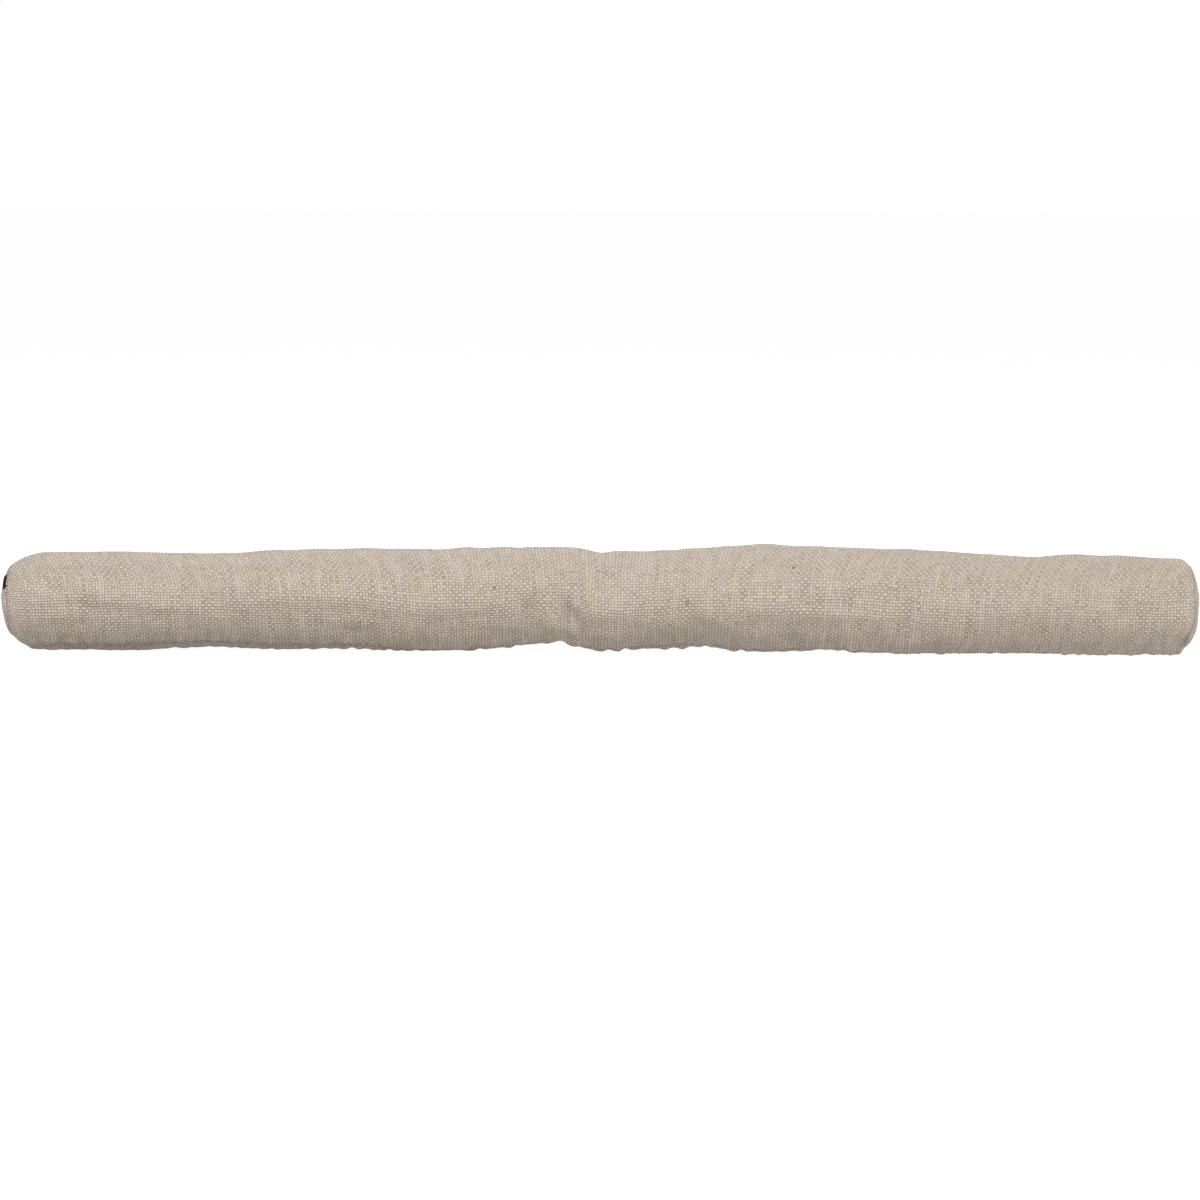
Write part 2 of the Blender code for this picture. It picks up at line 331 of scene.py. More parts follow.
def grid_mesh(name, points, loop, uv, caps=(False, False), dirt_and_shade=None):
    """A mesh of quads over a grid of points, as rows. loop joins each row's end to its start, uv holds the
    cloth's own place of each row and column, with one more column where the rows are loops, caps closes the
    first and last row with a fan, and the last argument is how dark each point is painted by the seams,
    partly wear and partly painted shade."""
    rows, columns = points.shape[:2]
    across = columns if loop else columns - 1
    i, j = np.meshgrid(np.arange(rows - 1), np.arange(across), indexing="ij")
    k = (j + 1) % columns
    corners = np.stack([i * columns + j, i * columns + k, (i + 1) * columns + k, (i + 1) * columns + j], -1)
    places = np.stack([uv[i, j], uv[i, j + 1], uv[i + 1, j + 1], uv[i + 1, j]], 2).reshape(-1, 2)
    faces = corners.reshape(-1, 4)
    vertices = points.reshape(-1, 3)
    starts = np.arange(len(faces)) * 4
    totals = np.full(len(faces), 4)
    loops = faces.reshape(-1)
    for wanted, row, turned in ((caps[0], 0, True), (caps[1], rows - 1, False)):
        if not wanted:
            continue
        ring = row * columns + np.arange(columns)
        following = np.roll(ring, -1)
        hub = np.full(columns, len(vertices))
        vertices = np.vstack([vertices, points[row].mean(axis=0)])
        fan = np.stack([hub, following, ring] if turned else [hub, ring, following], -1)
        starts = np.concatenate([starts, len(loops) + np.arange(columns) * 3])
        totals = np.concatenate([totals, np.full(columns, 3)])
        loops = np.concatenate([loops, fan.reshape(-1)])
        places = np.vstack([places, np.repeat(uv[row, :1], columns * 3, axis=0)])
    mesh = bpy.data.meshes.new(name)
    mesh.vertices.add(len(vertices))
    mesh.vertices.foreach_set("co", vertices.astype(np.float32).ravel())
    mesh.loops.add(len(loops))
    mesh.loops.foreach_set("vertex_index", loops.astype(np.int32))
    mesh.polygons.add(len(starts))
    mesh.polygons.foreach_set("loop_start", starts.astype(np.int32))
    mesh.polygons.foreach_set("loop_total", totals.astype(np.int32))
    mesh.update(calc_edges=True)
    layer = mesh.uv_layers.new(name="cloth")
    layer.uv.foreach_set("vector", places.astype(np.float32).ravel())
    mesh.polygons.foreach_set("use_smooth", np.ones(len(starts), bool))
    if dirt_and_shade is not None:
        seam_darkness = np.ones(len(vertices), np.float32)
        seam_darkness[: rows * columns] = dirt_and_shade.ravel()
        mesh.attributes.new("seam_wear_and_shade", "FLOAT", "POINT").data.foreach_set("value", seam_darkness)
    mesh.validate()
    return mesh


def link(name, mesh, material):
    """A new object in the scene, of a mesh and its material."""
    obj = bpy.data.objects.new(name, mesh)
    bpy.context.scene.collection.objects.link(obj)
    mesh.materials.append(material)
    return obj


# The simulated cloth: it is cut longer and wider than the tube by these shares, and held at both ends and
# wherever it lies lower than FLOOR_HOLD.
CUT_LONG = 0.022
CUT_WIDE = 0.004
FLOOR_HOLD = 0.0006
HELD_ROWS = 2
SIM_FRAMES = 20
SIM_CAP = 0.0028
SPREAD_ALONG = 7
SPREAD_AROUND = 5
SMOOTHINGS = 2
CREASE_SHARE = 0.65  # the simulated creases are sharper than the real ones
SIM_SETTINGS = {
    "quality": 5,
    "mass": 0.05,
    "air_damping": 1.0,
    "tension_stiffness": 40.0,
    "compression_stiffness": 40.0,
    "shear_stiffness": 8.0,
    "bending_stiffness": 0.8,
    "use_pressure": True,
    "uniform_pressure_force": 4.0,
}


def settle(points):
    """Blender's cloth run on a grid of the tube: it is cut a little long and pushed out from inside, so it
    buckles as packed linen does. Returns how far each point moved, smoothly capped."""
    rows, columns = points.shape[:2]
    mesh = grid_mesh("settling", points, True, np.zeros((rows, columns + 1, 2)), (True, True))
    cloth = bpy.data.objects.new("settling", mesh)
    bpy.context.scene.collection.objects.link(cloth)
    place = np.empty(len(mesh.vertices) * 3, np.float32)
    mesh.vertices.foreach_get("co", place)
    place = place.reshape(-1, 3)
    held = cloth.vertex_groups.new(name="held")
    row = np.arange(len(place)) // columns
    still = (row < HELD_ROWS) | (row >= rows - HELD_ROWS) | (place[:, 2] < FLOOR_HOLD)
    held.add(np.flatnonzero(still).tolist(), 1.0, "REPLACE")
    cloth.shape_key_add(name="Basis")
    cut = cloth.shape_key_add(name="cut")
    longer = place * np.array([1 + CUT_LONG, 1 + CUT_WIDE, 1 + CUT_WIDE])
    cut.data.foreach_set("co", longer.astype(np.float32).ravel())
    cloth.active_shape_key_index = 0
    modifier = cloth.modifiers.new("cloth", "CLOTH")
    modifier.point_cache.frame_start = 1
    modifier.point_cache.frame_end = SIM_FRAMES
    for name, value in SIM_SETTINGS.items():
        setattr(modifier.settings, name, value)
    modifier.settings.vertex_group_mass = "held"
    modifier.settings.rest_shape_key = cut
    modifier.settings.effector_weights.gravity = 0.0
    modifier.collision_settings.use_collision = False
    for step in range(1, SIM_FRAMES + 1):
        bpy.context.scene.frame_set(step)
    seen = cloth.evaluated_get(bpy.context.evaluated_depsgraph_get())
    after = np.empty(len(place) * 3, np.float32)
    seen.data.vertices.foreach_get("co", after)
    bpy.context.scene.frame_set(1)
    bpy.data.objects.remove(cloth, do_unlink=True)
    moved = (after.reshape(-1, 3) - place)[: rows * columns].reshape(rows, columns, 3)
    far = np.linalg.norm(moved, axis=-1, keepdims=True) + 1e-9
    return moved * np.tanh(far / SIM_CAP) * SIM_CAP / far


def creases_only(moved):
    """CREASE_SHARE of what is finer in a grid of movements than its mean over SPREAD_ALONG rows and
    SPREAD_AROUND columns to each side, taken twice over. The sections already hold the broad part."""
    broad = moved
    beside = range(-SPREAD_AROUND, SPREAD_AROUND + 1)
    for _ in range(SMOOTHINGS):
        rows = np.pad(broad, ((SPREAD_ALONG, SPREAD_ALONG), (0, 0), (0, 0)), mode="edge")
        total = np.cumsum(np.concatenate([0 * rows[:1], rows]), axis=0)
        wide = 2 * SPREAD_ALONG + 1
        broad = (total[wide:] - total[:-wide]) / wide
        broad = sum(np.roll(broad, k, 1) for k in beside) / len(beside)
    return CREASE_SHARE * (moved - broad)


def finer(field, rows, columns):
    """A grid of values read on a finer grid, straight between its points and then smoothed. Columns loop."""
    at = np.linspace(0, field.shape[0] - 1, rows)
    i = np.minimum(at.astype(int), field.shape[0] - 2)
    t = (at - i)[:, None, None]
    field = field[i] * (1 - t) + field[i + 1] * t
    at = np.linspace(0, field.shape[1], columns, endpoint=False)
    j = at.astype(int)
    t = (at - j)[None, :, None]
    field = field[:, j] * (1 - t) + field[:, (j + 1) % field.shape[1]] * t
    for _ in range(SMOOTHINGS):
        field = (np.roll(field, 1, 1) + 2 * field + np.roll(field, -1, 1)) / 4
        field[1:-1] = (field[:-2] + 2 * field[1:-1] + field[2:]) / 4
    return field


rows_x = spaced_along(STEPS_ALONG)[:, None]
turns = np.linspace(0, 2 * pi, STEPS_AROUND, endpoint=False)[None, :]
tube = tube_points(rows_x, turns, fine=True)
moved = settle(tube_points(rows_x[::SIM_SHARE], turns[:, ::SIM_SHARE]))
tube += finer(creases_only(moved), *tube.shape[:2])
tube[..., 2] = np.maximum(tube[..., 2], 0)


def linear(code):
    """A hex colour as linear red, green, blue and 1."""
    shade = np.array([int(code[i : i + 2], 16) for i in (1, 3, 5)]) / 255
    shade = np.where(shade <= 0.04045, shade / 12.92, ((shade + 0.055) / 1.055) ** 2.4)
    return (*shade.tolist(), 1.0)


def add(tree, kind, settings, sockets):
    """Adds a node. settings are its own; each socket gets a value, or a link where an output is given."""
    made = tree.nodes.new(kind)
    for name, value in settings.items():
        setattr(made, name, value)
    for name, value in sockets.items():
        if isinstance(value, bpy.types.NodeSocket):
            tree.links.new(value, made.inputs[name])
        else:
            made.inputs[name].default_value = value
    return made


# Natural linen in a plain weave. Up close the eye gets round threads going over and under, each of its own
# tone and thickness, with dark gaps between them, which are painted shade; from a step away a fine dry grain
# with no shine, in faint patches of greyer and of browner yarn.
THREAD_SPACING = 0.00229  # 11 threads to the inch
LINEN_LIGHT = "#dacec0"
LINEN_MID = "#cec1b3"
LINEN_DARK = "#a69584"
# The next colour is painted shade in the gaps between the threads.
LINEN_GAP_SHADE = "#624d3a"
FLECK = "#6d5641"
# The next colour is the seams' brown, partly rubbed dirt and partly painted shade in their recesses.
SEAM_DIRT_AND_SHADE = "#523c31"
PATCH_GREY = "#fefdff"
PATCH_BROWN = "#fffef9"

# Sizes of the weave and of its unevenness are in thread spacings, and scales are waves a thread. A tone runs
# from 0, darkest, to 1, lightest.
DRIFT = 1.1
DRIFT_SCALE = 0.11
THREAD_CHANGE = 0.13
THREAD_APART = 7.31
UNEVEN_RANGE = (0.25, 0.75)
THICKER = 0.12
TONE_SPREAD = 0.75
DARK_TONE = 0.24
LIGHT_TONE = 0.76
FIBRES_A_THREAD = 7.0
FIBRE_HEIGHT = 0.03
FIBRE_TONE = 0.2
# Heights of the weave over which the painted shade in the gaps fades into the thread tones
GAP_SHADE_DEPTH = (0.06, 0.34)
PATCH_SCALE = 0.09
PATCH_RANGE = (0.38, 0.62)
FLECK_CHANCE = 0.0004
FLECK_STRENGTH = 0.55
SPOTTY_DARKENING = (0.45, 1.35)
RELIEF = 0.0019  # metres for one thread spacing of height, a little less than true
COLUMN_ARCH = 0.70  # powers of the sine arches: below 1 they are broader on top
ROW_ARCH = 0.86
WARP_CRIMP = 0.33
SLACK_CRIMP = 0.12
BOTH_CRIMPS = 0.62  # the warp's and the weft's together

# Each step is a name, an operation and what it works on: numbers or the names of earlier steps. The warp
# runs along the tube and the weft round it. Where the warp is slack, its crimp is deeper and the weft's
# is shallower.
WEAVE = (
    ("across", "ADD", "threads_u", "stray_u"),
    ("up", "ADD", "threads_v", "stray_v"),
    ("column", "FLOOR", "across"),
    ("row", "FLOOR", "up"),
    ("in_column", "FRACT", "across"),
    ("in_row", "FRACT", "up"),
    ("angle_column", "MULTIPLY", "in_column", pi),
    ("angle_row", "MULTIPLY", "in_row", pi),
    ("arc_column", "SINE", "angle_column"),
    ("arc_row", "SINE", "angle_row"),
    ("round_column", "POWER", "arc_column", COLUMN_ARCH),
    ("round_row", "POWER", "arc_row", ROW_ARCH),
    ("cell", "ADD", "column", "row"),
    ("parity", "FLOORED_MODULO", "cell", 2.0),
    ("side", "MULTIPLY_ADD", "parity", -2.0, 1.0),
    ("warp_wave", "MULTIPLY", "side", "round_column"),
    ("weft_wave", "MULTIPLY", "side", "round_row"),
    ("warp_crimp", "MULTIPLY_ADD", "slack", SLACK_CRIMP, WARP_CRIMP),
    ("weft_crimp", "SUBTRACT", "warp_crimp", BOTH_CRIMPS),
    ("warp_rise", "MULTIPLY", "warp_wave", "warp_crimp"),
    ("weft_rise", "MULTIPLY", "weft_wave", "weft_crimp"),
)
# A thread's name, the axis it runs along, its own number, its arch across and its rise, how light it is, the
# weft's darker tone being partly its own and partly painted shade on its floats, how thick it is at its
# thinnest, and where in the noise its unevenness is taken from
THREADS = (
    ("warp", "across", "row", "round_row", "warp_rise", 0.03, 0.38, 5.47),
    ("weft", "up", "column", "round_column", "weft_rise", -0.13, 0.36, 4.03),
)


def weave(tree):
    """The weave's height and its thread tone at each point of the cloth map.

    Along each thread the height is a sine arch that changes sign from one crossing to the next, and across it
    a rounder arch, thicker or thinner by the thread's own unevenness. The upper of warp and weft shows.
    """
    place = add(tree, "ShaderNodeUVMap", {"uv_map": "cloth"}, {}).outputs[0]
    threads = add(
        tree, "ShaderNodeVectorMath", {"operation": "SCALE"}, {0: place, "Scale": 1 / THREAD_SPACING}
    ).outputs[0]
    drift = add(
        tree,
        "ShaderNodeTexNoise",
        {"noise_dimensions": "2D"},
        {"Vector": threads, "Scale": DRIFT_SCALE, "Detail": 2.0, "Roughness": 0.6},
    )
    stray = add(
        tree, "ShaderNodeVectorMath", {"operation": "SCALE"}, {0: drift.outputs["Color"], "Scale": DRIFT}
    ).outputs[0]
    made = {"threads": threads, "slack": drift.outputs["Fac"]}
    for name, vector in (("stray", stray), ("threads", threads)):
        split = add(tree, "ShaderNodeSeparateXYZ", {}, {0: vector})
        made[f"{name}_u"], made[f"{name}_v"] = split.outputs[:2]
    for name, operation, *terms in WEAVE:
        made[name] = add(
            tree,
            "ShaderNodeMath",
            {"operation": operation},
            {i: made.get(term, term) for i, term in enumerate(terms)},
        ).outputs[0]
    for thread, length_way, own, arch, rise, lightness_and_shade, thin, level in THREADS:
        slowly = add(
            tree, "ShaderNodeMath", {"operation": "MULTIPLY"}, {0: made[length_way], 1: THREAD_CHANGE}
        ).outputs[0]
        apart = add(
            tree, "ShaderNodeMath", {"operation": "MULTIPLY"}, {0: made[own], 1: THREAD_APART}
        ).outputs[0]
        spot = add(tree, "ShaderNodeCombineXYZ", {}, {0: slowly, 1: apart, 2: level})
        uneven = add(
            tree,
            "ShaderNodeTexNoise",
            {"noise_dimensions": "3D"},
            {"Vector": spot.outputs[0], "Scale": 1.0, "Detail": 3.0, "Roughness": 0.7},
        )
        thick = add(
            tree,
            "ShaderNodeMapRange",
            {},
            {
                "Value": uneven.outputs[0],
                "From Min": UNEVEN_RANGE[0],
                "From Max": UNEVEN_RANGE[1],
                "To Min": thin,
                "To Max": thin + THICKER,
            },
        )
        made[thread] = add(
            tree,
            "ShaderNodeMath",
            {"operation": "MULTIPLY_ADD"},
            {0: made[arch], 1: thick.outputs[0], 2: made[rise]},
        ).outputs[0]
        colour = add(tree, "ShaderNodeSeparateColor", {}, {0: uneven.outputs["Color"]})
        made[thread + "_tone"] = add(
            tree,
            "ShaderNodeMath",
            {"operation": "MULTIPLY_ADD"},
            {0: colour.outputs[1], 1: TONE_SPREAD, 2: (1 - TONE_SPREAD) / 2 + lightness_and_shade},
        ).outputs[0]
    fibres = add(
        tree,
        "ShaderNodeTexNoise",
        {"noise_dimensions": "2D"},
        {"Vector": threads, "Scale": FIBRES_A_THREAD, "Detail": 3.0, "Roughness": 0.65},
    )
    upper = add(
        tree, "ShaderNodeMath", {"operation": "MAXIMUM"}, {0: made["warp"], 1: made["weft"]}
    ).outputs[0]
    made["top"] = add(
        tree,
        "ShaderNodeMath",
        {"operation": "MULTIPLY_ADD"},
        {0: fibres.outputs["Fac"], 1: FIBRE_HEIGHT, 2: upper},
    ).outputs[0]
    which = add(
        tree, "ShaderNodeMath", {"operation": "GREATER_THAN"}, {0: made["warp"], 1: made["weft"]}
    ).outputs[0]
    bare_tone = add(
        tree,
        "ShaderNodeMix",
        {"data_type": "FLOAT"},
        {0: which, 2: made["weft_tone"], 3: made["warp_tone"]},
    ).outputs[0]
    darker = add(
        tree, "ShaderNodeMath", {"operation": "SUBTRACT"}, {0: bare_tone, 1: FIBRE_TONE / 2}
    ).outputs[0]
    made["tone"] = add(
        tree,
        "ShaderNodeMath",
        {"operation": "MULTIPLY_ADD"},
        {0: fibres.outputs["Fac"], 1: FIBRE_TONE, 2: darker},
    ).outputs[0]
    return made


def linen(name):
    """The linen's material: thread tones on a ramp from dark to light, painted shade in the gaps where the
    weave is low, faint patches, a rare fleck as large as a crossing, and brown at the seams, partly wear and
    partly painted shade. The weave's height is its relief."""
    material = bpy.data.materials.new(name)
    material.use_nodes = True
    tree = material.node_tree
    shader = tree.nodes["Principled BSDF"]
    made = weave(tree)
    shades = add(tree, "ShaderNodeValToRGB", {}, {0: made["tone"]})
    ramp = shades.color_ramp
    ramp.elements[0].position, ramp.elements[0].color = DARK_TONE, linear(LINEN_DARK)
    ramp.elements[1].position, ramp.elements[1].color = LIGHT_TONE, linear(LINEN_LIGHT)
    ramp.elements.new(0.5).color = linear(LINEN_MID)
    # Painted shade: where the weave is low, the thread tone is mixed towards the gap colour.
    gap_shade = add(
        tree,
        "ShaderNodeMapRange",
        {"interpolation_type": "SMOOTHSTEP"},
        {"Value": made["top"], "From Min": GAP_SHADE_DEPTH[0], "From Max": GAP_SHADE_DEPTH[1]},
    )
    body = add(
        tree,
        "ShaderNodeMix",
        {"data_type": "RGBA"},
        {0: gap_shade.outputs[0], 6: linear(LINEN_GAP_SHADE), 7: shades.outputs[0]},
    )
    cloudy = add(
        tree,
        "ShaderNodeTexNoise",
        {"noise_dimensions": "2D"},
        {"Vector": made["threads"], "Scale": PATCH_SCALE, "Detail": 2.0},
    )
    patch = add(
        tree,
        "ShaderNodeMapRange",
        {"interpolation_type": "SMOOTHSTEP"},
        {"Value": cloudy.outputs[0], "From Min": PATCH_RANGE[0], "From Max": PATCH_RANGE[1]},
    )
    tint = add(
        tree,
        "ShaderNodeMix",
        {"data_type": "RGBA"},
        {0: patch.outputs[0], 6: linear(PATCH_GREY), 7: linear(PATCH_BROWN)},
    )
    tinted = add(
        tree,
        "ShaderNodeMix",
        {"data_type": "RGBA", "blend_type": "MULTIPLY"},
        {0: 1.0, 6: body.outputs[2], 7: tint.outputs[2]},
    )
    cell = add(tree, "ShaderNodeCombineXYZ", {}, {0: made["column"], 1: made["row"]})
    luck = add(tree, "ShaderNodeTexWhiteNoise", {"noise_dimensions": "2D"}, {0: cell.outputs[0]})
    rare = add(
        tree, "ShaderNodeMath", {"operation": "GREATER_THAN"}, {0: luck.outputs[0], 1: 1 - FLECK_CHANCE}
    )
    faint = add(
        tree, "ShaderNodeMath", {"operation": "MULTIPLY"}, {0: rare.outputs[0], 1: FLECK_STRENGTH}
    )
    flecked = add(
        tree,
        "ShaderNodeMix",
        {"data_type": "RGBA"},
        {0: faint.outputs[0], 6: tinted.outputs[2], 7: linear(FLECK)},
    )
    # The seams' brown, spotty from cell to cell: partly wear, partly painted shade in the seams' recesses.
    dirt_and_shade = add(tree, "ShaderNodeAttribute", {"attribute_name": "seam_wear_and_shade"}, {})
    spotty = add(
        tree,
        "ShaderNodeMapRange",
        {},
        {"Value": luck.outputs[0], "To Min": SPOTTY_DARKENING[0], "To Max": SPOTTY_DARKENING[1]},
    )
    soiled_and_shaded = add(
        tree,
        "ShaderNodeMath",
        {"operation": "MULTIPLY", "use_clamp": True},
        {0: dirt_and_shade.outputs["Fac"], 1: spotty.outputs[0]},
    )
    seamed = add(
        tree,
        "ShaderNodeMix",
        {"data_type": "RGBA"},
        {0: soiled_and_shaded.outputs[0], 6: flecked.outputs[2], 7: linear(SEAM_DIRT_AND_SHADE)},
    )
    tree.links.new(seamed.outputs[2], shader.inputs["Base Color"])
    bump = add(
        tree, "ShaderNodeBump", {}, {"Height": made["top"], "Distance": RELIEF, "Strength": 1.0}
    )
    tree.links.new(bump.outputs[0], shader.inputs["Normal"])
    shader.inputs["Roughness"].default_value = 0.92
    shader.inputs["Specular IOR Level"].default_value = 0.18
    shader.inputs["Sheen Weight"].default_value = 0.20
    shader.inputs["Sheen Roughness"].default_value = 0.6
    return material


# The weft is dragged out of square over the top, by DRAG along the tube, one way at each end. DRAG_START is
# how far from the middle it starts, and DRAG_PLACE how far up the cloth from the front.
DRAG = -0.019
DRAG_START = 0.17
DRAG_PLACE = 0.038
DRAG_REACH = 0.020
natural_linen = linen("natural_linen_plain_weave")
columns = np.arange(STEPS_AROUND + 1)[None, :] / STEPS_AROUND
up_from_front = GIRTH * (columns - along("seam", rows_x) / 360)
dragged = DRAG * np.tanh(rows_x / DRAG_START)
dragged = dragged * (1 + np.tanh((up_from_front - DRAG_PLACE) / DRAG_REACH)) / 2
tube_uv = np.stack([rows_x + dragged, GIRTH * columns + 0 * rows_x], axis=-1)
tube_cloth = link(
    "tube_cloth",
    grid_mesh("tube_cloth", tube, True, tube_uv, (True, True), seam_dirt_and_shade(rows_x, turns)),
    natural_linen,
)
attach(tube_cloth, "root")
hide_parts("tube")

# The end panels
# Each is a disc of the same linen, sewn into the end from inside, so both raw edges are hidden and the cloth
# rolls down into the seam. The packed fibre pushes the disc out into a shallow crown.

PANEL_STEPS = 48
PANEL_COLUMNS = 160
PANEL_ROUNDNESS = 0.77
PANEL_HUB = 0.02  # radius of the innermost ring, as a share of the seam's
PANEL_WAVES = 30
PANEL_LUMPS = 0.0003
PANEL_LUMP_SIZE = 0.018
PANEL_LUMP_SEED = 40
PANEL_GATHERS = 0.0005
PANEL_GATHER_SIZE = 0.009
PANEL_GATHER_SEED = 50
PANEL_GATHER_REACH = 0.007
PANEL_LEAN = 9  # degrees that the discs' threads lean, away from each other
EVEN_EDGE = 8  # powers of the distance from the hub at which unevenness stops and the drawn-in dip starts
DIP_EDGE = 6


def crown(end, radius):
    """How far a panel stands out at a distance from its middle: a paraboloid raised to a power below 1, so
    that it turns over more quickly at the seam."""
    return end.bulge * np.maximum(1 - (radius / end.ring_radius) ** 2, 0) ** PANEL_ROUNDNESS


def panel_points(end):
    """A crowned disc as rings of points, from the hub out to the seam, closer together towards the seam, with
    soft lumps all over and small gathers near the seam."""
    share = np.sin(np.linspace(0, pi / 2, PANEL_STEPS))[:, None]
    turn = np.linspace(0, 2 * pi, PANEL_COLUMNS, endpoint=False)[None, :]
    radius = end.ring_radius * (PANEL_HUB + (1 - PANEL_HUB) * share)
    here = np.stack([radius * np.cos(turn), radius * np.sin(turn)], axis=-1)
    ring = np.stack([end.ring_radius * np.cos(turn), end.ring_radius * np.sin(turn)], axis=-1)
    gathers = waves(ring, PANEL_GATHER_SIZE, PANEL_WAVES, PANEL_GATHER_SEED + end.side)
    gathers = gathers * np.exp((radius - end.ring_radius) / PANEL_GATHER_REACH)
    lumps = waves(here, PANEL_LUMP_SIZE, PANEL_WAVES, PANEL_LUMP_SEED + end.side)
    uneven = (PANEL_LUMPS * lumps + PANEL_GATHERS * gathers) * (1 - share**EVEN_EDGE)
    stand = crown(end, radius) + uneven
    dip = drawn_in(end, turn) * (radius / end.ring_radius) ** DIP_EDGE
    x = ring_x(end) + end.side * (GAP + stand) + dip
    y = -radius * np.cos(turn)
    z = end.height + radius * np.sin(turn)
    return np.stack([x, y + 0 * x, z + 0 * x], axis=-1)


for end in (LEFT, RIGHT):
    disc = panel_points(end)
    if end.side > 0:
        disc = disc[:, ::-1]
    looped = np.concatenate([disc, disc[:, :1]], axis=1)
    lean = radians(PANEL_LEAN * end.side)
    across, up = looped[..., 1], looped[..., 2] - end.height
    cloth_place = np.stack(
        [across * cos(lean) - up * sin(lean), across * sin(lean) + up * cos(lean)], axis=-1
    )
    from_seam = end.ring_radius - np.hypot(disc[..., 1], disc[..., 2] - end.height)
    # The panel's rim is painted darker by its seam, partly wear and partly painted shade.
    panel_dirt_and_shade = END_SEAM_DARKENING * np.exp(-abs(from_seam) / DARKENING_REACH)
    panel = link(
        f"panel_cloth_{end.name}",
        grid_mesh(f"panel_cloth_{end.name}", disc, True, cloth_place, (True, True), panel_dirt_and_shade),
        natural_linen,
    )
    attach(panel, "root")
    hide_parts(f"end_panel_{end.name}")

# The tab
# A short piece of black woven tape, folded double and caught in the left end seam with its raw ends inside,
# so that it lies over the end panel. It is plain.

TAB_WIDTH = 0.011
TAB_LENGTH = 0.0038
TAPE = 0.00034  # thickness of one layer
TAB_SLIT = 0.00012  # open between the two layers
TAB_STEPS = 16
TAB_COLUMNS = 24
FOLD_STEPS = 9
TAB_ANGLE = radians(41)  # up from the front
TAB_ROOT = 0.0005  # how far inside the seam ring the tab starts
TAB_CLEARANCE = 1.5 * GAP
TAPE_DARK = "#0b0b0c"
# The lighter tape colour is a painted highlight on the rib's ridges.
TAPE_HIGHLIGHT = "#191919"

# The real ribs are too fine to show, so they are drawn 2.2 mm apart: RIB_RADIAN metres of tape for each
# radian of their wave, of which the wave texture runs through TEXTURE_RADIANS at scale 1.
RIB_RADIAN = 0.00035
TEXTURE_RADIANS = 20
RIB_HEIGHT = 0.00008


def tab_points():
    """The folded tape: an outline that runs in along its outer layer, round the fold and back along its
    inner layer, and then the same inside the fold, carried across the tab's width over the crown."""
    half = TAPE + TAB_SLIT / 2
    flat = np.linspace(0, 1, TAB_STEPS) * (TAB_LENGTH - half)
    bend = np.linspace(pi / 2, -pi / 2, FOLD_STEPS)[1:-1]
    layers = []
    for out in (half, TAB_SLIT / 2):
        far = np.concatenate([flat, TAB_LENGTH - half + out * np.cos(bend), flat[::-1]])
        above = np.concatenate([out + 0 * flat, out * np.sin(bend), -out + 0 * flat])
        layers.append(np.stack([far, above]))
    run, up = np.concatenate([layers[0], layers[1][:, ::-1]], axis=1)[:, None, :]
    up = up + half
    wide = np.linspace(-TAB_WIDTH / 2, TAB_WIDTH / 2, TAB_COLUMNS)[:, None]
    reach = LEFT.ring_radius - TAB_ROOT - run
    outward = np.array([-cos(TAB_ANGLE), sin(TAB_ANGLE)])
    sideways = np.array([sin(TAB_ANGLE), cos(TAB_ANGLE)])
    y = reach * outward[0] + wide * sideways[0]
    z = reach * outward[1] + wide * sideways[1]
    from_middle = np.minimum(np.hypot(y, z), LEFT.ring_radius)
    under = crown(LEFT, from_middle) + TAB_CLEARANCE
    x = ring_x(LEFT) - GAP - under - up
    return np.stack([x, y, z + LEFT.height], axis=-1), run + 0 * wide, wide + 0 * run


def black_tape(name):
    """Close-woven black tape: a faint cross rib, a sine wave along the tape, that catches a little light
    along its ridges in its bump, with a painted highlight, a lighter colour, along the same ridges."""
    material = bpy.data.materials.new(name)
    material.use_nodes = True
    tree = material.node_tree
    shader = tree.nodes["Principled BSDF"]
    place = add(tree, "ShaderNodeUVMap", {"uv_map": "cloth"}, {}).outputs[0]
    rib = add(
        tree,
        "ShaderNodeTexWave",
        {"wave_type": "BANDS", "bands_direction": "Y"},
        {"Vector": place, "Scale": 1 / (TEXTURE_RADIANS * RIB_RADIAN), "Distortion": 0.6, "Detail": 1.0},
    )
    shade = add(
        tree,
        "ShaderNodeMix",
        {"data_type": "RGBA"},
        {0: rib.outputs["Fac"], 6: linear(TAPE_DARK), 7: linear(TAPE_HIGHLIGHT)},
    )
    tree.links.new(shade.outputs[2], shader.inputs["Base Color"])
    bump = add(
        tree, "ShaderNodeBump", {}, {"Height": rib.outputs["Fac"], "Distance": RIB_HEIGHT, "Strength": 0.8}
    )
    tree.links.new(bump.outputs[0], shader.inputs["Normal"])
    shader.inputs["Roughness"].default_value = 0.7
    shader.inputs["Specular IOR Level"].default_value = 0.2
    return material


tab, tab_run, tab_wide = tab_points()
tab_uv = np.stack([tab_wide, tab_run], axis=-1)
tab_uv = np.concatenate([tab_uv, tab_uv[:, :1]], axis=1)
label = link(
    "tab_tape", grid_mesh("tab_tape", tab, True, tab_uv, (True, True)), black_tape("black_woven_tape")
)
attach(label, "root")
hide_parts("label")

# Floor, light and camera
# A matt white table that glows a little from below, more to the right, so that the tube's underside stays
# open and its shadow is faint. Broad soft lamps hang in front, behind and at both ends, in a white room.

